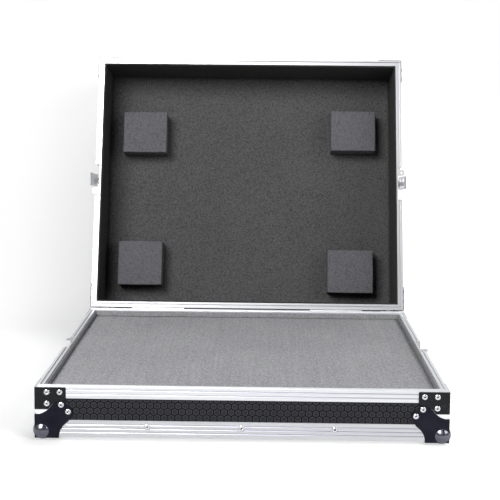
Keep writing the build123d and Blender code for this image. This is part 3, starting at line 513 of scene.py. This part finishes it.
def foam_block(size, corner, step, crown, seed, wobble):
    """A cut foam block: its corners rounded, its faces a little crowned and uneven.

    The block is centred across its first two axes and stands from 0 to its height.
    """
    wide, deep, tall = size
    work = bmesh.new()
    counts = [max(2, round(length / step)) for length in size]
    vertices = {}

    def spot(i, j, k):
        key = (i, j, k)
        if key not in vertices:
            point = Vector((
                (i / counts[0] - 0.5) * wide,
                (j / counts[1] - 0.5) * deep,
                (k / counts[2]) * tall,
            ))
            vertices[key] = work.verts.new(point)
        return vertices[key]

    def sheet(fixed, level, first, second):
        for a in range(counts[first]):
            for b in range(counts[second]):
                quad = []
                for da, db in ((0, 0), (1, 0), (1, 1), (0, 1)):
                    index = [0, 0, 0]
                    index[fixed] = level
                    index[first] = a + da
                    index[second] = b + db
                    quad.append(spot(*index))
                work.faces.new(quad)

    for fixed, first, second in ((0, 1, 2), (1, 0, 2), (2, 0, 1)):
        sheet(fixed, 0, first, second)
        sheet(fixed, counts[fixed], first, second)
    inner = Vector((wide / 2 - corner, deep / 2 - corner, tall / 2 - corner))
    middle = Vector((0, 0, tall / 2))
    for vertex in work.verts:
        point = vertex.co - middle
        core = Vector(max(-i, min(i, p)) for p, i in zip(point, inner))
        away = point - core
        if away.length > 0:
            away.normalize()
            point = core + away * corner
            bulge = 1.0
            for p, i in zip(core, inner):
                bulge *= 1 - CROWN_FALL * (abs(p) / i) ** 2 if i > 0 and abs(p) < i else 1.0
            shake = noise.noise((point + Vector((seed, 0, 0))) * BLOCK_WAVES) * wobble
            point += away * (crown * (bulge - 1) + shake - wobble)
        vertex.co = point + middle
    return work


def soft_box(node, name, half, material, place, corner, crown, seed, wobble, step):
    """Replace a foam node by a detailed block of the same size.

    The place is the block's size and the middle of its lowest face, with the lid closed.
    """
    size, foot = place
    work = foam_block(size, corner, step, crown, seed, wobble)
    work.transform(Matrix.Translation(foot))
    piece = new_piece(name, work, half.body, [material], half.swing)
    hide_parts(node)


def size_and_foot(low, high):
    """A box's size and the middle of its lowest face."""
    return high - low, Vector(((low.x + high.x) / 2, (low.y + high.y) / 2, low.z))


def shut_box(node):
    """A lid node's size and the middle of its lowest face, with the lid closed."""
    mesh = frame["nodes"][node].data
    points = [BACK_TO_SHUT @ vertex.co for vertex in mesh.vertices]
    low = Vector(min(p[axis] for p in points) for axis in range(3))
    high = Vector(max(p[axis] for p in points) for axis in range(3))
    return size_and_foot(low, high)


# Foam slab in the tray

slab_foam = foam("slab_foam", 0.31, FOAM_GRAIN, 1.5, streak=0.25)
slab_place = size_and_foot(*(Vector(corner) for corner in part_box("base_foam_slab")))
soft_box(
    "base_foam_slab", "tray_foam", BASE, slab_foam, slab_place,
    corner=1.5 * MM, crown=0.5 * MM, seed=3, wobble=0.35 * MM, step=9 * MM,
)


# Foam blocks in the lid

PADS = ("upper_left", "upper_right", "lower_left", "lower_right")
FIRST_PAD_SEED = 11
pad_foam = foam("pad_foam", 0.102, FOAM_GRAIN, 1.5, turn=OPEN_ANGLE, lift=(1.0, 0.99, 1.08))

for seed, where in enumerate(PADS, FIRST_PAD_SEED):
    soft_box(
        f"pad_{where}", f"foam_block_{where}", LID, pad_foam, shut_box(f"pad_{where}"),
        corner=1.6 * MM, crown=0.6 * MM, seed=seed, wobble=0.3 * MM, step=3 * MM,
    )


# Linings

# The ring's step along the wall, its levels, and its waves in a metre along the wall and up it
LINING_STEP = 14 * MM
LINING_LEVELS = 8
LINING_WAVES = 18
LINING_WAVES_UP = 30


def lining_ring(low, high, wobble, seed):
    """A foam strip round the inside of the walls, its inner face slightly uneven."""
    work = bmesh.new()
    outer_x = HALF_W - RIM
    outer_y = HALF_D - RIM
    path = []
    corners = [(-outer_x, -outer_y), (outer_x, -outer_y), (outer_x, outer_y), (-outer_x, outer_y)]
    for start, end in zip(corners, corners[1:] + corners[:1]):
        count = round(math.dist(start, end) / LINING_STEP)
        for n in range(count):
            x = start[0] + (end[0] - start[0]) * n / count
            y = start[1] + (end[1] - start[1]) * n / count
            path.append((x, y))
    rows = []
    for x, y in path:
        inner_x = max(-outer_x + LINING, min(outer_x - LINING, x))
        inner_y = max(-outer_y + LINING, min(outer_y - LINING, y))
        row = [work.verts.new((x, y, low)), work.verts.new((x, y, high))]
        inside = []
        for level in range(LINING_LEVELS + 1):
            z = low + (high - low) * level / LINING_LEVELS
            wave = Vector((x * LINING_WAVES, y * LINING_WAVES + seed, z * LINING_WAVES_UP))
            press = noise.noise(wave) * wobble
            shift_x = math.copysign(abs(press), -x) if abs(inner_x - x) > 0 else 0.0
            shift_y = math.copysign(abs(press), -y) if abs(inner_y - y) > 0 else 0.0
            inside.append(work.verts.new((inner_x - shift_x, inner_y - shift_y, z)))
        rows.append((row, inside))
    for (row, inside), (next_row, next_inside) in zip(rows, rows[1:] + rows[:1]):
        work.faces.new((row[0], next_row[0], next_row[1], row[1]))
        work.faces.new((row[1], next_row[1], next_inside[-1], inside[-1]))
        work.faces.new((row[0], inside[0], next_inside[0], next_row[0]))
        for n in range(LINING_LEVELS):
            work.faces.new((inside[n], inside[n + 1], next_inside[n + 1], next_inside[n]))
    return work


lining_foam = foam("lining_foam", 0.069, LINING_GRAIN, 2.2, turn=OPEN_ANGLE, lift=(1.0, 1.0, 1.02))
# The lid's wall lining is the back lining's foam painted darker, as painted shade
wall_foam = foam("wall_foam", 0.033, LINING_GRAIN, 1.5, turn=OPEN_ANGLE, lift=(1.0, 1.0, 0.98))
tray_wall_foam = foam("tray_wall_foam", 0.26, LINING_GRAIN, 1.5)

base_low, base_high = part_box("base_lining")
work = lining_ring(base_low[2], base_high[2], wobble=0.25 * MM, seed=5.0)
piece = new_piece("tray_lining", work, "base", [tray_wall_foam], smooth=False)
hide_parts("base_lining")

wall_size, wall_foot = shut_box("lid_wall_lining")
work = lining_ring(wall_foot.z, wall_foot.z + wall_size.z, wobble=0.3 * MM, seed=9.0)
piece = new_piece("lid_lining", work, "lid", [wall_foam], OPEN, smooth=False)
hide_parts("lid_wall_lining")

top_place = shut_box("lid_top_lining")
soft_box(
    "lid_top_lining", "lid_back_lining", LID, lining_foam, top_place,
    corner=0.6 * MM, crown=0.0, seed=21, wobble=0.25 * MM, step=8 * MM,
)


# Rivets

HEAD = 4.25 * MM
LATCH_HEAD = 2.4 * MM
HINGE_HEAD = 2.2 * MM
RIVET_SIDES = 20

# Radius and height of a head's rings in millimetres; from the ring HOLE_FROM on they are its
# dimple, which gets painted shade
RIVET_PROFILE = (
    (4.25, -0.1), (4.25, 0.2), (4.0, 0.75), (3.4, 1.2), (2.6, 1.5), (1.8, 1.62), (1.35, 1.6),
    (1.25, 1.1), (0.9, 0.8), (0.35, 0.75),
)
HOLE_FROM = 6


def add_rivet(work, point, outward, radius=HEAD):
    """One domed rivet head with a dimple in its middle."""
    turn = outward.to_track_quat("Z", "Y").to_matrix().to_4x4()
    place = Matrix.Translation(point) @ turn
    size = radius / RIVET_PROFILE[0][0]
    rings = []
    for r, height in RIVET_PROFILE:
        ring = []
        for n in range(RIVET_SIDES):
            angle = math.tau * n / RIVET_SIDES
            x = r * size * math.cos(angle)
            y = r * size * math.sin(angle)
            ring.append(work.verts.new(place @ Vector((x, y, height * size))))
        rings.append(ring)
    for level, (lower, upper) in enumerate(zip(rings, rings[1:])):
        for n in range(RIVET_SIDES):
            after = (n + 1) % RIVET_SIDES
            face = work.faces.new((lower[n], lower[after], upper[after], upper[n]))
            # The dimple gets the painted shade
            face.material_index = int(level >= HOLE_FROM)
    cap = work.faces.new(rings[-1])
    cap.material_index = 1
    work.faces.new(list(reversed(rings[0])))


# Rivets of the braces and ball corners, in millimetres: along the wall from the case's corner, and
# from the rim or the tip. On the end face the second is counted along the other wall
BRACE_RIVETS = ((16.4, 7.6), (34.5, 7.6), (16.4, 24.0))
BALL_RIVETS = ((36.5, 46.8), (46.2, 37.0))

# Rivets of the edge sections
EDGE_RIVET_UP = 15.8 * MM
FRONT_SPOTS = (-133 * MM, 0.0, 131 * MM)
SIDE_SPOTS = (-105 * MM, 0.0, 105 * MM)

# Rivets of the latch dishes, the handle plate and the hinges; rows are measured from the rim
DISH_SPOTS = (-35 * MM, 35 * MM)
KEEPER_ROWS = (-22 * MM, -41.5 * MM)
LATCH_ROWS = (22 * MM, 42 * MM, 63.5 * MM)
DISH_SINK = 0.5 * MM
HANDLE_SPOTS = (-60.5 * MM, 60.5 * MM)
HANDLE_ROWS = (35 * MM, 50 * MM)
HINGE_PLACES = (-165 * MM, 165 * MM)
HINGE_SPOTS = (-38 * MM, -13 * MM, 13 * MM, 38 * MM)
HINGE_ROW = 9.5 * MM
HINGE_SHEET = 1.5 * MM


def case_rivets(work, half):
    """Rivets of the braces, ball corners and edge sections of one half of the case."""
    rim, tip, up = half.rim, half.tip, half.up
    to_tip = Vector((0, 0, -up))
    for sx in (-1, 1):
        for sy in (-1, 1):
            corner = Vector((sx * HALF_W, sy * HALF_D, 0))
            along_x, along_y = Vector((-sx, 0, 0)), Vector((0, -sy, 0))
            for along, outward in ((along_x, -along_y), (along_y, -along_x)):
                face = corner + outward * PLATE
                for across, down in BRACE_RIVETS:
                    height = Vector((0, 0, rim - up * down * MM))
                    add_rivet(work, face + along * across * MM + height, outward)
                for across, rise in BALL_RIVETS:
                    height = Vector((0, 0, tip + up * rise * MM))
                    add_rivet(work, face + along * across * MM + height, outward)
            height = Vector((0, 0, tip - up * PLATE))
            for across, inward in BALL_RIVETS:
                point = corner + along_x * across * MM + along_y * inward * MM + height
                add_rivet(work, point, to_tip)
    level = tip + up * EDGE_RIVET_UP
    for spot in FRONT_SPOTS:
        for sy in (-1, 1):
            add_rivet(work, Vector((spot, sy * HALF_D, level)), Vector((0, sy, 0)))
            add_rivet(work, Vector((spot, sy * (HALF_D - EDGE_RIVET_UP), tip)), to_tip)
    for spot in SIDE_SPOTS:
        for sx in (-1, 1):
            add_rivet(work, Vector((sx * HALF_W, spot, level)), Vector((sx, 0, 0)))
            add_rivet(work, Vector((sx * (HALF_W - EDGE_RIVET_UP), spot, tip)), to_tip)


def latch_rivets(work, rim, rows):
    """Rivets in the flanges of the latch dishes, or of the keeper dishes."""
    for sx in (-1, 1):
        for spot in DISH_SPOTS:
            for row in rows:
                point = Vector((sx * (HALF_W - DISH_SINK), spot, rim + row))
                add_rivet(work, point, Vector((sx, 0, 0)), LATCH_HEAD)


def handle_rivets(work):
    """Rivets of the carrying handle's plate on the lid's front wall."""
    for spot in HANDLE_SPOTS:
        for row in HANDLE_ROWS:
            point = Vector((spot, -HALF_D, LID_RIM + row))
            add_rivet(work, point, Vector((0, -1, 0)), LATCH_HEAD)


work = bmesh.new()
case_rivets(work, BASE)
latch_rivets(work, RIM_TOP, KEEPER_ROWS)
new_piece("base_rivets", work, "base", [rivet_steel, rivet_dimple_shade])

work = bmesh.new()
case_rivets(work, LID)
latch_rivets(work, LID_RIM, LATCH_ROWS)
handle_rivets(work)
new_piece("lid_rivets", work, "lid", [rivet_steel, rivet_dimple_shade], OPEN)

for half in (BASE, LID):
    work = bmesh.new()
    level = half.rim - half.up * HINGE_ROW
    for place in HINGE_PLACES:
        for spot in HINGE_SPOTS:
            point = Vector((place + spot, HALF_D + HINGE_SHEET, level))
            add_rivet(work, point, Vector((0, 1, 0)), HINGE_HEAD)
    name = f"{half.body}_hinge_rivets"
    new_piece(name, work, half.body, [rivet_steel, rivet_dimple_shade], half.swing)


# Floor, backdrop and light

BEHIND_CASE = 40 * MM
BACKDROP = CAD_BOX[1][1] + BEHIND_CASE
SWEEP_ROUND = 60 * MM
SWEEP_STEPS = 12
STAGE_HALF = 6.0
STAGE_FRONT = -6.0
STAGE_TOP = 4.0

# The paper's own tones, the glow it is seen with, and where it fades to plain white
FLOOR_TONE = 0.80
BACKDROP_TONE = 0.95
PAPER_GLOW = 0.58
FADE_STRETCH = (1.0, 0.9, 0.6)
FADE_FROM = 0.50
FADE_TO = 0.75


def stage_material():
    """White paper that keeps the shadow near the case and fades to plain white further out.

    It is clear from behind and below, so that the case's back and underside can be seen.
    """
    nodes = Nodes("stage")
    height = nodes.split(nodes.place())[2]
    level = nodes.map_range(height, GROUND, GROUND + SWEEP_ROUND, FLOOR_TONE, BACKDROP_TONE)
    nodes.set(Base_Color=nodes.vector("SCALE", (1, 1, 1), scale=level))
    nodes.set(Roughness=0.9, Specular_IOR_Level=0.1)
    white = nodes.tree.nodes.new("ShaderNodeEmission")
    white.inputs["Color"].default_value = (1, 1, 1, 1)
    rays = nodes.tree.nodes.new("ShaderNodeLightPath")
    seen = nodes.math("MAXIMUM", rays.outputs["Is Camera Ray"], rays.outputs["Is Glossy Ray"])
    nodes.set(Emission_Color=(1, 1, 1, 1))
    nodes.set(Emission_Strength=nodes.math("MULTIPLY", seen, PAPER_GLOW))
    away = nodes.vector("LENGTH", nodes.place(scale=FADE_STRETCH))
    fade = nodes.map_range(away, FADE_FROM, FADE_TO, 0.0, 1.0)
    both = nodes.tree.nodes.new("ShaderNodeMixShader")
    nodes.link(nodes.math("MULTIPLY", seen, fade), both.inputs[0])
    nodes.link(nodes.shader.outputs[0], both.inputs[1])
    nodes.link(white.outputs[0], both.inputs[2])
    clear = nodes.tree.nodes.new("ShaderNodeBsdfTransparent")
    behind = nodes.tree.nodes.new("ShaderNodeNewGeometry").outputs["Backfacing"]
    front_only = nodes.tree.nodes.new("ShaderNodeMixShader")
    nodes.link(behind, front_only.inputs[0])
    nodes.link(both.outputs[0], front_only.inputs[1])
    nodes.link(clear.outputs[0], front_only.inputs[2])
    nodes.link(front_only.outputs[0], nodes.output.inputs["Surface"])
    return nodes.material


def paper_sweep():
    """A sheet of paper that lies under the case and curves up behind it."""
    profile = [(STAGE_FRONT, GROUND)]
    for step in range(SWEEP_STEPS + 1):
        angle = math.radians(90 * step / SWEEP_STEPS)
        profile.append((
            BACKDROP - SWEEP_ROUND + SWEEP_ROUND * math.sin(angle),
            GROUND + SWEEP_ROUND - SWEEP_ROUND * math.cos(angle),
        ))
    profile.append((BACKDROP, STAGE_TOP))
    work = bmesh.new()
    rows = [[work.verts.new((x, y, z)) for x in (-STAGE_HALF, STAGE_HALF)] for y, z in profile]
    for (a, b), (d, c) in zip(rows, rows[1:]):
        work.faces.new((a, b, c, d))
    mesh = bpy.data.meshes.new("paper")
    work.to_mesh(mesh)
    work.free()
    mesh.materials.append(stage_material())
    for polygon in mesh.polygons:
        polygon.use_smooth = True
    paper = bpy.data.objects.new("paper", mesh)
    bpy.context.scene.collection.objects.link(paper)
    return paper


paper = paper_sweep()


# Where the lamps stand and the points they look at
KEY_PLACE = (-0.95, -1.85, 1.65)
FILL_PLACE = (1.9, -1.2, 1.1)
CASE_TARGET = (0, 0.1, 0.1)
PAPER_SIDE_PLACE = (1.6, -1.4, 1.4)
PAPER_SIDE_TARGET = (0, 0.1, 0)
PAPER_TOP_PLACE = (0.1, 0.18, 1.35)
PAPER_TOP_TARGET = (0.1, 0, 0)

# The glow round the key lamp, between two cosines of the angle to it, and the heights of a
# direction between which the reflected studio turns dark
KEY_HALO = 2.5
HALO_FROM = 0.82
HALO_TO = 0.95
DARK_FROM = 0.55
DARK_TO = 0.85


def white_world(level, mirrored):
    """White where it is seen, and a plain low level of light elsewhere.

    In reflections it is dark overhead, with a glow round the key lamp.
    """
    world = bpy.data.worlds.new("studio")
    world.use_nodes = True
    tree = world.node_tree
    tree.nodes.clear()

    def between(source, from_min, from_max, to_min, to_max, smooth=False):
        """Map the source's range to another; a value or a node's output may be an end of it."""
        node = tree.nodes.new("ShaderNodeMapRange")
        if smooth:
            node.interpolation_type = "SMOOTHSTEP"
        for socket, value in zip(node.inputs, (source, from_min, from_max, to_min, to_max)):
            if isinstance(value, bpy.types.NodeSocket):
                tree.links.new(value, socket)
            else:
                socket.default_value = value
        return node.outputs[0]

    output = tree.nodes.new("ShaderNodeOutputWorld")
    background = tree.nodes.new("ShaderNodeBackground")
    rays = tree.nodes.new("ShaderNodeLightPath")
    height = tree.nodes.new("ShaderNodeSeparateXYZ")
    direction = tree.nodes.new("ShaderNodeTexCoord").outputs["Generated"]
    tree.links.new(direction, height.inputs[0])
    overhead = between(height.outputs["Z"], DARK_FROM, DARK_TO, mirrored, level)
    toward = tree.nodes.new("ShaderNodeVectorMath")
    toward.operation = "DOT_PRODUCT"
    tree.links.new(direction, toward.inputs[0])
    toward.inputs[1].default_value = Vector(KEY_PLACE).normalized()
    halo = between(toward.outputs["Value"], HALO_FROM, HALO_TO, 0.0, KEY_HALO, smooth=True)
    brighter = tree.nodes.new("ShaderNodeMath")
    brighter.operation = "MAXIMUM"
    tree.links.new(overhead, brighter.inputs[0])
    tree.links.new(halo, brighter.inputs[1])
    shine = between(rays.outputs["Is Glossy Ray"], 0.0, 1.0, level, brighter.outputs[0])
    strength = between(rays.outputs["Is Camera Ray"], 0.0, 1.0, shine, 1.0)
    background.inputs["Color"].default_value = (1, 1, 1, 1)
    tree.links.new(strength, background.inputs["Strength"])
    tree.links.new(background.outputs[0], output.inputs["Surface"])
    bpy.context.scene.world = world


def receivers(name, link):
    """The paper alone, or everything but the paper, as the things that a lamp lights."""
    group = bpy.data.collections.new(name)
    group.objects.link(paper)
    group.collection_objects[0].light_linking.link_state = link
    return group


FOR_PAPER = receivers("lights_paper", "INCLUDE")
FOR_CASE = receivers("lights_case", "EXCLUDE")


def softbox(name, place, target, size, power, lights):
    """A large square lamp that looks at a point and lights one group."""
    lamp = bpy.data.lights.new(name, "AREA")
    lamp.shape = "SQUARE"
    lamp.size = size
    lamp.energy = power
    lamp_object = bpy.data.objects.new(name, lamp)
    lamp_object.location = place
    look = Vector(target) - Vector(place)
    lamp_object.rotation_euler = look.to_track_quat("-Z", "Y").to_euler()
    bpy.context.scene.collection.objects.link(lamp_object)
    lamp_object.light_linking.receiver_collection = lights


white_world(level=0.07, mirrored=0.45)
softbox("key", KEY_PLACE, CASE_TARGET, size=1.2, power=84, lights=FOR_CASE)
softbox("fill", FILL_PLACE, CASE_TARGET, size=1.2, power=20, lights=FOR_CASE)
softbox("paper_side", PAPER_SIDE_PLACE, PAPER_SIDE_TARGET, size=1.4, power=36, lights=FOR_PAPER)
softbox("paper_top", PAPER_TOP_PLACE, PAPER_TOP_TARGET, size=0.6, power=6, lights=FOR_PAPER)


# Camera, at the photograph's viewing angle

CAMERA_PLACE = Vector((22.9, -1658.6, 456.2)) * MM
PITCH = math.radians(5.86)
YAW = math.radians(-0.59)
ROLL = math.radians(0.57)
FOCAL_PIXELS = 1043.4
AXIS_ABOVE_MIDDLE = 75.2
FRAME_PIXELS = 500
SENSOR_MM = 36
CLIP_END = 50

flat = math.cos(PITCH)
forward = Vector((math.sin(YAW) * flat, math.cos(YAW) * flat, -math.sin(PITCH)))
level_right = forward.cross(Vector((0, 0, 1))).normalized()
level_up = level_right.cross(forward)
right = level_right * math.cos(ROLL) + level_up * math.sin(ROLL)
up = level_up * math.cos(ROLL) - level_right * math.sin(ROLL)
lens = bpy.data.cameras.new("camera")
lens.sensor_width = SENSOR_MM
lens.lens = lens.sensor_width * FOCAL_PIXELS / FRAME_PIXELS
lens.shift_y = -AXIS_ABOVE_MIDDLE / FRAME_PIXELS
lens.clip_end = CLIP_END
camera = bpy.data.objects.new("camera", lens)
facing = Matrix((right, up, -forward)).transposed().to_4x4()
camera.matrix_world = Matrix.Translation(CAMERA_PLACE) @ facing
bpy.context.scene.collection.objects.link(camera)
bpy.context.scene.camera = camera
bpy.context.scene.view_settings.view_transform = "Standard"
